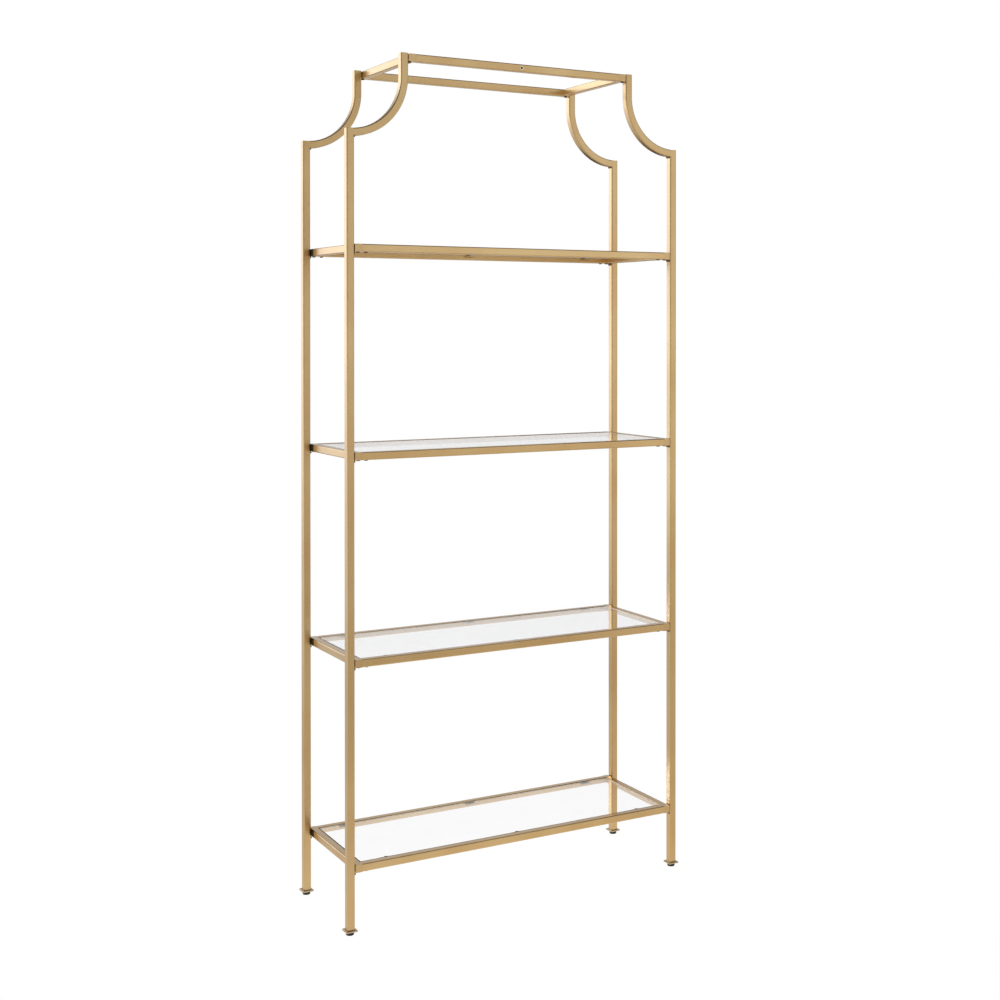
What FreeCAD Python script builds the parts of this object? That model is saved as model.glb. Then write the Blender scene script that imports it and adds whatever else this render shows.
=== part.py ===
import FreeCAD, Part
import math
import os

# Etagere: four square-tube posts with scooped shoulders, a top frame, and
# four welded shelf frames that each hold a loose glass pane.
#
# Millimetres. +Z up, +X to the right, +Y to the back. The origin is on the
# floor, in the middle of the footprint.

Vector = FreeCAD.Vector

# ---------------------------------------------------------------- whole piece
WIDTH = 813.0                 # across the outer faces of the posts
DEPTH = 273.0                 # front face of the front posts to back face of the back posts
HEIGHT = 1827.0               # floor to the top of the four stubs

# ---------------------------------------------------------------- square tube
TUBE = 16.5                   # outer size of every tube
WALL = 1.2                    # tube wall
TUBE_CORNER = 2.3             # outer corner radius of the tube
CAP_THICK = 1.5               # plates that close the tube ends
CAP_EDGE = 0.25               # rounding of the caps' outside edges

# ---------------------------------------------------------------- shelf levels
SHELF_1_TOP = 144.0           # top faces of the shelf frames, lowest first
SHELF_2_TOP = 567.0
SHELF_3_TOP = 995.0
SHELF_4_TOP = 1425.0
TOP_RAIL_DROP = 0.8           # the top frame lies this far below the stubs' tops

# ---------------------------------------------------------------- shoulder arches
SHOULDER_DROP = 164.5         # flat top of each post, below the stubs' tops
ARCH_RADIUS = 114.0           # hollow side of the bend
ARCH_INSET = 7.0              # bend centre, in from the post's outer face

# ---------------------------------------------------------------- frame to post
JOINT_GAP = 1.0               # between a frame's side rail and the post beside it
TONGUE_WIDTH = 11.0           # flat bar welded to a post; it lies inside a frame's corner
TONGUE_THICK = 4.0
TONGUE_TAIL = 4.5             # tongue length past its last screw's axis
SLOT_CLEARANCE = 0.25         # round a tongue, in the side rail's walls
SCREW_DIA = 4.0               # shank of the screws that go up into a tongue
SCREW_HEAD_DIA = 7.5
SCREW_HEAD_HEIGHT = 1.8
SCREW_HEAD_EDGE = 0.8
SCREW_KEY = 2.5               # across the flats of the screws' socket
SCREW_KEY_DEPTH = 1.0
SCREW_CLEARANCE = 0.25        # radial, in the tube wall
SCREW_REACH = 1.0             # shank length past the tongue
TOP_SCREW = 5.0               # top frame's screws, in from its side rail's outer face
SHELF_SCREW_1 = 10.0          # a shelf frame's two screws, in from the same face
SHELF_SCREW_2 = 27.5
THREAD_CLEARANCE = 0.05       # radial, between a screw and its tongue

# ---------------------------------------------------------------- glass and its rests
GLASS_THICK = 5.0
GLASS_GAP = 1.5               # between a pane's edge and the rails
GLASS_DROP = 0.8              # pane's top, below the rails' tops
GLASS_CORNER = 3.0            # plan radius of the pane's corners
GLASS_EDGE = 0.6              # ground edge of the pane
TAB_WIDTH = 24.0              # steel tabs under the pane
TAB_REACH = 11.0              # how far a tab stands out of its rail
TAB_THICK = 2.0
TAB_SPREAD = 312.0            # outer tabs, from the middle tab
BUMPER_DIA = 8.0              # clear bumper between tab and pane
BUMPER_HEIGHT = 1.5

# ---------------------------------------------------------------- feet
PLATE_SIZE = 25.0             # square foot plate
PLATE_THICK = 3.0
PLATE_EDGE = 0.6
PAD_DIA = 17.0                # leveller pad
PAD_HEIGHT = 5.2
PAD_EDGE = 1.2
PAD_SOCKET = 3.5              # depth of the stem in the pad
COLLAR_DIA = 11.0             # collar on the leveller's stem, above the pad
COLLAR_HEIGHT = 1.8
FOOT_GAP = 0.5                # collar to foot plate with the leveller screwed in
STEM_DIA = 6.0
STEM_TRAVEL = 12.0            # how far a leveller screws out
STEM_CLEARANCE = 0.05         # radial, in the foot nut
PLATE_CLEARANCE = 0.25        # radial, in the foot plate
FOOT_NUT_SIZE = 13.0          # square nut inside the post
FOOT_NUT_HEIGHT = 6.0

# ---------------------------------------------------------------- wall fixing inserts
INSERT_THREAD = 5.0           # bore of the threaded insert
INSERT_BODY = 7.0
INSERT_FLANGE = 9.5
INSERT_FLANGE_THICK = 0.6
INSERT_LENGTH = 12.0

# ---------------------------------------------------------------- worked out
HALF_W = WIDTH / 2.0
HALF_D = DEPTH / 2.0
INNER = TUBE - 2.0 * WALL
SHOULDER_TOP = HEIGHT - SHOULDER_DROP
PLATE_BOTTOM = PAD_HEIGHT + COLLAR_HEIGHT + FOOT_GAP
POST_BOTTOM = PLATE_BOTTOM + PLATE_THICK
POST_TOP = SHOULDER_TOP - CAP_THICK
ARCH_CENTRE_X = -HALF_W + ARCH_INSET
ARCH_CENTRE_Z = SHOULDER_TOP + ARCH_RADIUS
STUB_INNER_X = ARCH_CENTRE_X + ARCH_RADIUS + TUBE
STUB_TUBE_TOP = HEIGHT - CAP_THICK
SHELF_LEFT = -HALF_W + TUBE + JOINT_GAP
TOP_LEFT = STUB_INNER_X + JOINT_GAP
TOP_FRAME_TOP = HEIGHT - TOP_RAIL_DROP
POST_AXIS_X = -HALF_W + TUBE / 2.0
POST_AXIS_Y = -HALF_D + TUBE / 2.0
TONGUE_BORE_R = SCREW_DIA / 2.0 + THREAD_CLEARANCE
SHELF_TOPS = {1: SHELF_1_TOP, 2: SHELF_2_TOP, 3: SHELF_3_TOP, 4: SHELF_4_TOP}

# corner name: (mirror left to right, mirror front to back)
CORNERS = {
    "front_left": (False, False),
    "front_right": (True, False),
    "back_left": (False, True),
    "back_right": (True, True),
}


# ================================================================ helpers
def box(x0, x1, y0, y1, z0, z1):
    """A box from its two corners."""
    return Part.makeBox(x1 - x0, y1 - y0, z1 - z0, Vector(x0, y0, z0))


def cylinder(x, y, z0, z1, radius):
    """An upright cylinder."""
    return Part.makeCylinder(radius, z1 - z0, Vector(x, y, z0))


def to_corner(shape, corner):
    """A front left shape, mirrored to the named corner."""
    right, back = CORNERS[corner]
    if right:
        shape = shape.mirror(Vector(0, 0, 0), Vector(1, 0, 0))
    if back:
        shape = shape.mirror(Vector(0, 0, 0), Vector(0, 1, 0))
    return shape


def at_corners(shape):
    """Copies of a front left shape at all four corners."""
    return [to_corner(shape, corner) for corner in CORNERS]


def edges_along(shape, axis):
    """The straight edges that run along one axis, 0 for X, 1 for Y, 2 for Z."""
    found = []
    for edge in shape.Edges:
        if len(edge.Vertexes) != 2:
            continue
        run = edge.Vertexes[1].Point - edge.Vertexes[0].Point
        if abs(abs(run[axis]) - run.Length) < 1e-6:
            found.append(edge)
    return found


def tube(x0, x1, y0, y1, z0, z1, axis):
    """A square tube with rounded outer corners, open at both ends, along one axis."""
    outer = box(x0, x1, y0, y1, z0, z1)
    outer = outer.makeFillet(TUBE_CORNER, edges_along(outer, axis))
    low = [x0 + WALL, y0 + WALL, z0 + WALL]
    high = [x1 - WALL, y1 - WALL, z1 - WALL]
    low[axis] -= 2.0 * WALL
    high[axis] += 2.0 * WALL
    return outer.cut(box(low[0], high[0], low[1], high[1], low[2], high[2]))


def end_cap(x0, x1, y0, y1, z0, z1, axis, edge_faces):
    """A plate that closes a tube end; its outside edges are rounded."""
    plate = box(x0, x1, y0, y1, z0, z1)
    plate = plate.makeFillet(TUBE_CORNER, edges_along(plate, axis))
    rim = [face for face in plate.Faces if edge_faces(face)]
    return plate.makeFillet(CAP_EDGE, rim[0].Edges)


def hexagon(x, y, z, flats, height):
    """An upright hexagonal prism, flats across the Y direction."""
    radius = flats / math.sqrt(3.0)
    points = []
    for step in range(7):
        turn = math.radians(60.0 * step)
        points.append(Vector(x + radius * math.cos(turn), y + radius * math.sin(turn), z))
    return Part.Face(Part.makePolygon(points)).extrude(Vector(0, 0, height))


def write(name, solids):
    """Write one node: a single solid, or a group of separate ones."""
    shape = solids[0] if len(solids) == 1 else Part.makeCompound(solids)
    shape.exportStep("parts/" + name + ".step")


# ================================================================ posts and arches
def post():
    """The front left post: a plain tube with tongues welded to its inner face."""
    x0 = -HALF_W
    y0 = -HALF_D
    return tube(x0, x0 + TUBE, y0, y0 + TUBE, POST_BOTTOM, POST_TOP, 2)


def arch():
    """The front left arch: a quarter bend out of the post, then an upright stub."""
    y0 = -HALF_D
    x_low = ARCH_CENTRE_X + ARCH_RADIUS
    stub = tube(x_low, x_low + TUBE, y0, y0 + TUBE, ARCH_CENTRE_Z, STUB_TUBE_TOP, 2)
    section = [face for face in stub.Faces
               if face.BoundBox.ZMax - ARCH_CENTRE_Z < 1e-6]
    bend = section[0].revolve(Vector(ARCH_CENTRE_X, y0, ARCH_CENTRE_Z), Vector(0, 1, 0), 90.0)
    reach = ARCH_RADIUS + TUBE
    hidden = box(-HALF_W - reach, -HALF_W + TUBE, y0 - TUBE, y0 + 2.0 * TUBE,
                 ARCH_CENTRE_Z - 2.0 * reach, ARCH_CENTRE_Z)
    return stub.fuse(bend).removeSplitter().cut(hidden)


def shoulder_cap():
    """Closes the top of the front left post."""
    x0 = -HALF_W
    y0 = -HALF_D
    return end_cap(x0, x0 + TUBE, y0, y0 + TUBE, POST_TOP, SHOULDER_TOP, 2,
                   lambda face: face.BoundBox.ZMin > SHOULDER_TOP - 1e-6)


def stub_cap():
    """Closes the top of the front left stub."""
    x0 = STUB_INNER_X - TUBE
    y0 = -HALF_D
    return end_cap(x0, x0 + TUBE, y0, y0 + TUBE, STUB_TUBE_TOP, HEIGHT, 2,
                   lambda face: face.BoundBox.ZMin > HEIGHT - 1e-6)


# ================================================================ frames
class Frame:
    """A rectangle of tubes between the uprights: two side rails, a front and a back rail."""

    def __init__(self, left, top, screw_offsets):
        self.left = left
        self.top = top
        self.bottom = top - TUBE
        self.screw_xs = [left + offset for offset in screw_offsets]

    def screw_holes(self):
        """Clearance holes in the lower wall, for all the screws of the front left corner."""
        radius = SCREW_DIA / 2.0 + SCREW_CLEARANCE
        return [cylinder(x, POST_AXIS_Y, self.bottom - WALL, self.bottom + 2.0 * WALL, radius)
                for x in self.screw_xs]

    def side_rail(self):
        """Left side rail: it runs the full depth and is closed by an end cap each way."""
        y0 = -HALF_D + CAP_THICK
        rail = tube(self.left, self.left + TUBE, y0, -y0, self.bottom, self.top, 1)
        for hole in self.screw_holes() + [self.tongue_slot()]:
            rail = rail.cut(hole)
            rail = rail.cut(hole.mirror(Vector(0, 0, 0), Vector(0, 1, 0)))
        return rail

    def front_rail(self):
        """Front rail: it stands between the side rails."""
        x0 = self.left + TUBE
        rail = tube(x0, -x0, -HALF_D, -HALF_D + TUBE, self.bottom, self.top, 0)
        for hole in self.screw_holes():
            rail = rail.cut(hole)
            rail = rail.cut(hole.mirror(Vector(0, 0, 0), Vector(1, 0, 0)))
        return rail

    def end_caps(self):
        """Four plates that close the ends of the side rails."""
        y0 = -HALF_D
        cap = end_cap(self.left, self.left + TUBE, y0, y0 + CAP_THICK, self.bottom, self.top, 1,
                      lambda face: face.BoundBox.YMax < y0 + 1e-6)
        return at_corners(cap)

    def tongue_box(self, clearance):
        """A tongue's outline, or its slot's: it lies on the rails' lower wall."""
        half = TONGUE_WIDTH / 2.0 + clearance
        seat = self.bottom + WALL
        return box(self.left - JOINT_GAP, self.screw_xs[-1] + TONGUE_TAIL + clearance,
                   POST_AXIS_Y - half, POST_AXIS_Y + half, seat, seat + TONGUE_THICK + clearance)

    def tongue_slot(self):
        """The slot in the left side rail that the front tongue goes in through."""
        return self.tongue_box(SLOT_CLEARANCE)

    def tongues(self):
        """Tapped flat bars, welded to the uprights' inner faces, inside the corners."""
        bar = self.tongue_box(0.0)
        for x in self.screw_xs:
            bar = bar.cut(cylinder(x, POST_AXIS_Y, self.bottom, self.top, TONGUE_BORE_R))
        return at_corners(bar)

    def screws(self):
        """Low-head screws, up through the rails' lower wall into the tongues."""
        made = []
        tip = self.bottom + WALL + TONGUE_THICK + SCREW_REACH
        under = self.bottom - SCREW_HEAD_HEIGHT
        for x in self.screw_xs:
            head = cylinder(x, POST_AXIS_Y, under, self.bottom, SCREW_HEAD_DIA / 2.0)
            rim = [edge for edge in head.Edges if edge.BoundBox.ZMax < self.bottom - 1e-6]
            head = head.makeFillet(SCREW_HEAD_EDGE, rim)
            screw = head.fuse(cylinder(x, POST_AXIS_Y, self.bottom, tip, SCREW_DIA / 2.0))
            key = hexagon(x, POST_AXIS_Y, under - SCREW_KEY_DEPTH, SCREW_KEY,
                          2.0 * SCREW_KEY_DEPTH)
            made += at_corners(screw.cut(key))
        return made


class Shelf(Frame):
    """A shelf frame with a loose glass pane on six padded tabs."""

    def __init__(self, top):
        super().__init__(SHELF_LEFT, top, [SHELF_SCREW_1, SHELF_SCREW_2])
        self.glass_top = top - GLASS_DROP
        self.glass_bottom = self.glass_top - GLASS_THICK
        self.tab_top = self.glass_bottom - BUMPER_HEIGHT
        self.opening_y = -HALF_D + TUBE

    def pane(self):
        """The glass, a little smaller than the frame's opening."""
        x0 = self.left + TUBE + GLASS_GAP
        y0 = self.opening_y + GLASS_GAP
        glass = box(x0, -x0, y0, -y0, self.glass_bottom, self.glass_top)
        glass = glass.makeFillet(GLASS_CORNER, edges_along(glass, 2))
        flat = [face for face in glass.Faces
                if face.BoundBox.ZLength < 1e-6]
        rims = flat[0].Edges + flat[1].Edges
        return glass.makeChamfer(GLASS_EDGE, rims)

    def tab_xs(self):
        """Middles of the three tabs on a rail."""
        return [-TAB_SPREAD, 0.0, TAB_SPREAD]

    def tabs(self):
        """Steel tabs welded to the inner faces of the front and back rails."""
        made = []
        for x in self.tab_xs():
            tab = box(x - TAB_WIDTH / 2.0, x + TAB_WIDTH / 2.0, self.opening_y,
                      self.opening_y + TAB_REACH, self.tab_top - TAB_THICK, self.tab_top)
            made.append(tab)
            made.append(tab.mirror(Vector(0, 0, 0), Vector(0, 1, 0)))
        return made

    def bumpers(self):
        """Clear discs on the tabs; the pane rests on them."""
        made = []
        y = self.opening_y + GLASS_GAP + (TAB_REACH - GLASS_GAP) / 2.0
        for x in self.tab_xs():
            for side in (y, -y):
                made.append(cylinder(x, side, self.tab_top, self.glass_bottom, BUMPER_DIA / 2.0))
        return made


def insert_seat(top):
    """The hole that a wall fixing insert sits in, in the front rail of the top frame."""
    return Part.makeCylinder(INSERT_BODY / 2.0, 2.0 * WALL,
                             Vector(0, -HALF_D - WALL / 2.0, top - TUBE / 2.0), Vector(0, 1, 0))


def wall_insert(top):
    """Threaded insert in the middle of the top frame's front rail."""
    z = top - TUBE / 2.0
    back = Vector(0, 1, 0)
    flange = Part.makeCylinder(INSERT_FLANGE / 2.0, INSERT_FLANGE_THICK,
                               Vector(0, -HALF_D - INSERT_FLANGE_THICK, z), back)
    sleeve = Part.makeCylinder(INSERT_BODY / 2.0, INSERT_LENGTH, Vector(0, -HALF_D, z), back)
    bore = Part.makeCylinder(INSERT_THREAD / 2.0, 2.0 * INSERT_LENGTH,
                             Vector(0, -HALF_D - INSERT_LENGTH / 2.0, z), back)
    return flange.fuse(sleeve).cut(bore)


# ================================================================ feet
def foot_plate():
    """Square plate welded under the front left post."""
    half = PLATE_SIZE / 2.0
    plate = box(POST_AXIS_X - half, POST_AXIS_X + half, POST_AXIS_Y - half, POST_AXIS_Y + half,
                PLATE_BOTTOM, POST_BOTTOM)
    plate = plate.makeFillet(PLATE_EDGE, edges_along(plate, 2))
    upper = [face for face in plate.Faces if face.BoundBox.ZMin > POST_BOTTOM - 1e-6]
    plate = plate.makeFillet(PLATE_EDGE, upper[0].Edges)
    hole = cylinder(POST_AXIS_X, POST_AXIS_Y, PLATE_BOTTOM - PLATE_THICK,
                    POST_BOTTOM + PLATE_THICK, STEM_DIA / 2.0 + PLATE_CLEARANCE)
    return plate.cut(hole)


def foot_nut():
    """Square nut on the foot plate, inside the front left post."""
    half = FOOT_NUT_SIZE / 2.0
    nut = box(POST_AXIS_X - half, POST_AXIS_X + half, POST_AXIS_Y - half, POST_AXIS_Y + half,
              POST_BOTTOM, POST_BOTTOM + FOOT_NUT_HEIGHT)
    bore = cylinder(POST_AXIS_X, POST_AXIS_Y, POST_BOTTOM - FOOT_NUT_HEIGHT,
                    POST_BOTTOM + 2.0 * FOOT_NUT_HEIGHT, STEM_DIA / 2.0 + STEM_CLEARANCE)
    return nut.cut(bore)


def leveller_stem():
    """Threaded stem with a collar, screwed up into the foot nut."""
    top = POST_BOTTOM + FOOT_NUT_HEIGHT + STEM_TRAVEL
    stem = cylinder(POST_AXIS_X, POST_AXIS_Y, PAD_HEIGHT - PAD_SOCKET, top, STEM_DIA / 2.0)
    collar = cylinder(POST_AXIS_X, POST_AXIS_Y, PAD_HEIGHT, PAD_HEIGHT + COLLAR_HEIGHT,
                      COLLAR_DIA / 2.0)
    return stem.fuse(collar)


def leveller_pad():
    """Round pad moulded on the stem; its lower face stands on the floor."""
    pad = cylinder(POST_AXIS_X, POST_AXIS_Y, 0.0, PAD_HEIGHT, PAD_DIA / 2.0)
    rims = [edge for edge in pad.Edges if edge.BoundBox.ZLength < 1e-6]
    pad = pad.makeFillet(PAD_EDGE, rims)
    return pad.cut(cylinder(POST_AXIS_X, POST_AXIS_Y, PAD_HEIGHT - PAD_SOCKET,
                            2.0 * PAD_HEIGHT, STEM_DIA / 2.0))


# ================================================================ write the nodes
def write_frame_rails(name, frame, front):
    """The four rails of one frame, as four nodes."""
    side = frame.side_rail()
    write(name + "_rail_left", [side])
    write(name + "_rail_right", [side.mirror(Vector(0, 0, 0), Vector(1, 0, 0))])
    write(name + "_rail_front", [front])
    write(name + "_rail_back", [front.mirror(Vector(0, 0, 0), Vector(0, 1, 0))])


def main():
    os.makedirs("parts", exist_ok=True)

    corner_parts = {
        "post": post(),
        "arch": arch(),
        "foot_plate": foot_plate(),
        "leveller_stem": leveller_stem(),
        "leveller_pad": leveller_pad(),
    }
    for name, shape in corner_parts.items():
        for corner in CORNERS:
            write(name + "_" + corner, [to_corner(shape, corner)])
    write("foot_nuts", at_corners(foot_nut()))
    write("upright_caps", at_corners(shoulder_cap()) + at_corners(stub_cap()))

    top_frame = Frame(TOP_LEFT, TOP_FRAME_TOP, [TOP_SCREW])
    write_frame_rails("top", top_frame, top_frame.front_rail().cut(insert_seat(TOP_FRAME_TOP)))
    insert = wall_insert(TOP_FRAME_TOP)
    write("wall_inserts", [insert, insert.mirror(Vector(0, 0, 0), Vector(0, 1, 0))])

    frames = [top_frame]
    for number, level in SHELF_TOPS.items():
        shelf = Shelf(level)
        frames.append(shelf)
        name = "shelf_" + str(number)
        write_frame_rails(name, shelf, shelf.front_rail())
        write(name + "_glass", [shelf.pane()])
        write(name + "_glass_tabs", shelf.tabs())
        write(name + "_bumpers", shelf.bumpers())

    write("rail_end_caps", [cap for frame in frames for cap in frame.end_caps()])
    write("frame_tongues", [tongue for frame in frames for tongue in frame.tongues()])
    write("frame_screws", [screw for frame in frames for screw in frame.screws()])


main()
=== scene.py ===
"""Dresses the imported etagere: satin gold tube, clear shelves, welds, levellers and a studio."""
import logging
import math
from dataclasses import dataclass, field
from enum import Enum

import bmesh
import bpy
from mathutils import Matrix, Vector


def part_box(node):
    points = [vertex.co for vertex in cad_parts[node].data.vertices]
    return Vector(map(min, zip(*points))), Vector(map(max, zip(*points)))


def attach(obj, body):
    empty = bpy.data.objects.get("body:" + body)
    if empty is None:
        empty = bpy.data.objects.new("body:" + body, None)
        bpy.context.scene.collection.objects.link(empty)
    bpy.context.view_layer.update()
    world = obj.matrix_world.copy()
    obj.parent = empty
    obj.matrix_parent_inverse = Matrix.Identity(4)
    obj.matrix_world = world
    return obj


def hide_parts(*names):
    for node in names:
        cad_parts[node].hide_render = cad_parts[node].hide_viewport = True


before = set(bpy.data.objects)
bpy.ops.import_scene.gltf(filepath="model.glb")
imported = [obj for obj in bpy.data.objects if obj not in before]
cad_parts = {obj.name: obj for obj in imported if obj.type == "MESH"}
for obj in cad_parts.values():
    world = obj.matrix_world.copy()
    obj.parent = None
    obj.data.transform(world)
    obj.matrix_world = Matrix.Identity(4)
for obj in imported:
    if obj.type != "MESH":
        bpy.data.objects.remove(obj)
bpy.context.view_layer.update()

LOG = logging.getLogger("etagere")

Socket = bpy.types.NodeSocket
Node = bpy.types.Node
Tree = bpy.types.NodeTree
Mesh = bpy.types.Mesh
Material = bpy.types.Material
Object = bpy.types.Object
Spot = tuple[float, float]
Point = tuple[float, float, float]
Colour = tuple[float, float, float]


class Grain(Enum):
    """The direction that a tube's polishing lines run in."""

    ALONG_X = (1.0, 26.0, 26.0)
    ALONG_Y = (26.0, 1.0, 26.0)
    ALONG_Z = (26.0, 26.0, 1.0)
    EVEN = (9.0, 9.0, 9.0)


class Corner(Enum):
    """The four uprights, with -1 for those at the left and 1 for those at the right."""

    FRONT_LEFT = ("front_left", -1)
    FRONT_RIGHT = ("front_right", 1)
    BACK_LEFT = ("back_left", -1)
    BACK_RIGHT = ("back_right", 1)

    @property
    def label(self) -> str:
        """The corner's part of a node name."""
        return self.value[0]

    @property
    def side(self) -> int:
        """-1 at the left, 1 at the right."""
        return self.value[1]


class Body(Enum):
    """The bodies that new pieces ride on."""

    FRAME = "frame"

    @staticmethod
    def leveller(corner: Corner) -> str:
        """The name of one leveller's body."""
        return "leveller_" + corner.label


# ---- node trees
class Blend(Enum):
    """A Mix node's data type, its two value inputs and its output."""

    NUMBER = ("FLOAT", 2, 3, 0)
    COLOUR = ("RGBA", 6, 7, 2)


class Canvas:
    """A node tree with short calls to add, set and join its nodes."""

    def __init__(self, tree: Tree) -> None:
        """Keeps the shader or geometry tree to fill."""
        self.tree = tree

    def add(self, kind: str, **settings: object) -> Node:
        """Adds a node.

        Args:
            kind: Blender's type name for the node.
            settings: attributes to set on it.

        Returns:
            The new node.
        """
        node = self.tree.nodes.new(kind)
        for key, value in settings.items():
            setattr(node, key, value)
        return node

    def feed(self, node: Node, **values: object) -> Node:
        """Sets inputs or links them.

        Args:
            node: the node whose inputs are filled.
            values: input name, with _ for a space, and a plain value or an output socket.

        Returns:
            The same node.
        """
        for key, value in values.items():
            self.put(node.inputs[key.replace("_", " ")], value)
        return node

    def node(self, kind: str, **values: object) -> Node:
        """Adds a node and feeds it."""
        return self.feed(self.add(kind), **values)

    def put(self, socket: Socket, value: object) -> None:
        """Sets one input to a value, or links it to an output.

        Args:
            socket: the input.
            value: a plain value or an output socket.
        """
        if isinstance(value, Socket):
            self.tree.links.new(value, socket)
        else:
            socket.default_value = value

    def fill(self, node: Node, *values: object) -> Node:
        """Sets or links a node's first inputs, in order.

        Args:
            node: the node.
            values: plain values or output sockets.

        Returns:
            The same node.
        """
        for socket, value in zip(node.inputs, values):
            self.put(socket, value)
        return node

    def maths(self, operation: str, first: object, second: object = 0.0,
              third: object = 0.0) -> Socket:
        """A Math node.

        Args:
            operation: the node's operation.
            first: first operand, a number or a socket.
            second: second operand.
            third: third operand.

        Returns:
            The node's output.
        """
        node = self.add("ShaderNodeMath", operation=operation)
        return self.fill(node, first, second, third).outputs[0]

    def vectors(self, operation: str, first: object,
                second: object = (0.0, 0.0, 0.0)) -> Socket:
        """A Vector Math node.

        Args:
            operation: the node's operation.
            first: first operand, a vector or a socket.
            second: second operand.

        Returns:
            The node's output in use: the vector, or the value of a measuring operation.
        """
        node = self.fill(self.add("ShaderNodeVectorMath", operation=operation), first, second)
        return next(output for output in node.outputs if output.enabled)

    def axes(self, vector: Socket) -> list[Socket]:
        """The X, Y and Z of a vector."""
        return list(self.node("ShaderNodeSeparateXYZ", Vector=vector).outputs)

    def join(self, across: object, along: object, up: object) -> Socket:
        """A vector made of three values."""
        return self.node("ShaderNodeCombineXYZ", X=across, Y=along, Z=up).outputs[0]

    def blend(self, mask: object, plain: object, full: object,
              kind: Blend = Blend.COLOUR) -> Socket:
        """Mixes two colours or numbers.

        Args:
            mask: how much of the second shows, from 0 to 1.
            plain: the value at 0.
            full: the value at 1.
            kind: colours or numbers.

        Returns:
            The mixed value.
        """
        data_type, first, second, output = kind.value
        node = self.add("ShaderNodeMix", data_type=data_type)
        for socket, value in zip((0, first, second), (mask, plain, full)):
            self.put(node.inputs[socket], value)
        return node.outputs[output]


@dataclass(frozen=True)
class Ramp:
    """A change between two levels as a value goes from start to end, held beyond both."""

    start: float
    end: float
    low: float = 0.0
    high: float = 1.0

    def over(self, canvas: Canvas, value: Socket, **settings: object) -> Socket:
        """The level for a value.

        Args:
            canvas: the canvas of the material or world.
            value: what the level follows.
            settings: attributes to set on the node.

        Returns:
            The level.
        """
        node = canvas.add("ShaderNodeMapRange", **settings)
        canvas.feed(node, Value=value, From_Min=self.start, From_Max=self.end,
                    To_Min=self.low, To_Max=self.high)
        return node.outputs[0]


def new_tree(name: str, family: str, inputs: dict[str, str],
             outputs: dict[str, str]) -> tuple[Canvas, dict[str, Socket], Node]:
    """Starts a node group.

    Args:
        name: the group's name.
        family: Shader or Geometry.
        inputs: input name to kind, such as Float.
        outputs: the same for the outputs.

    Returns:
        The canvas, the group's inputs by name, and its output node.
    """
    tree = bpy.data.node_groups.new(name, family + "NodeTree")
    for way, sockets in (("INPUT", inputs), ("OUTPUT", outputs)):
        for label, kind in sockets.items():
            tree.interface.new_socket(label, in_out=way, socket_type="NodeSocket" + kind)
    canvas = Canvas(tree)
    given = canvas.add("NodeGroupInput").outputs
    return canvas, {label: given[label] for label in inputs}, canvas.add("NodeGroupOutput")


class Effects:
    """Shader groups that several finishes share, each built once."""

    def __init__(self) -> None:
        """Builds the groups."""
        self.grain = self.build_grain()
        self.drift = self.build_drift()
        self.speckle = self.build_speckle()

    @staticmethod
    def build_grain() -> Tree:
        """Fine polishing lines under a satin lacquer.

        Returns:
            The group, with outputs Mask and Height.
        """
        canvas, given, leave = new_tree(
            "polishing_lines", "Shader",
            {"Vector": "Vector", "Stretch": "Vector", "Scale": "Float"},
            {"Mask": "Float", "Height": "Float"})
        drawn_out = canvas.vectors("MULTIPLY", given["Vector"], given["Stretch"])
        lines = canvas.node("ShaderNodeTexNoise", Vector=drawn_out, Scale=given["Scale"],
                            Detail=4.0, Roughness=0.65)
        canvas.feed(leave, Mask=lines.outputs["Fac"], Height=lines.outputs["Fac"])
        return canvas.tree

    @staticmethod
    def build_drift() -> Tree:
        """Slow drift between two tones of one colour.

        Returns:
            The group, with output Color.
        """
        canvas, given, leave = new_tree(
            "tone_drift", "Shader",
            {"Vector": "Vector", "Scale": "Float", "Light Tone": "Color", "Deep Tone": "Color"},
            {"Color": "Color"})
        cloud = canvas.node("ShaderNodeTexNoise", Vector=given["Vector"], Scale=given["Scale"],
                            Detail=3.0, Roughness=0.5)
        mask = Ramp(0.35, 0.65).over(canvas, cloud.outputs["Fac"])
        canvas.feed(leave, Color=canvas.blend(mask, given["Light Tone"], given["Deep Tone"]))
        return canvas.tree

    @staticmethod
    def build_speckle() -> Tree:
        """Small pits and grains, as in plastic, plating and lacquer.

        Returns:
            The group, with outputs Mask and Height.
        """
        canvas, given, leave = new_tree(
            "fine_speckle", "Shader",
            {"Vector": "Vector", "Scale": "Float", "Sparse": "Float"},
            {"Mask": "Float", "Height": "Float"})
        cells = canvas.add("ShaderNodeTexVoronoi", feature="F1")
        canvas.feed(cells, Vector=given["Vector"], Scale=given["Scale"])
        dots = canvas.node("ShaderNodeMapRange", Value=cells.outputs["Distance"],
                           From_Max=given["Sparse"], To_Min=1.0, To_Max=0.0)
        canvas.feed(leave, Mask=dots.outputs[0], Height=dots.outputs[0])
        return canvas.tree


EFFECTS = Effects()


# ---- finishes
def rgba(colour: Colour) -> tuple[float, float, float, float]:
    """The colour with full alpha."""
    return (*colour, 1.0)


@dataclass(frozen=True)
class Surface:
    """How a finish varies.

    reach is how far the roughness goes to each side, relief the share of the texture's
    height that shows, and depth the metres for a height of 1.
    """

    drift_scale: float
    reach: float
    relief: float
    depth: float


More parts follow.
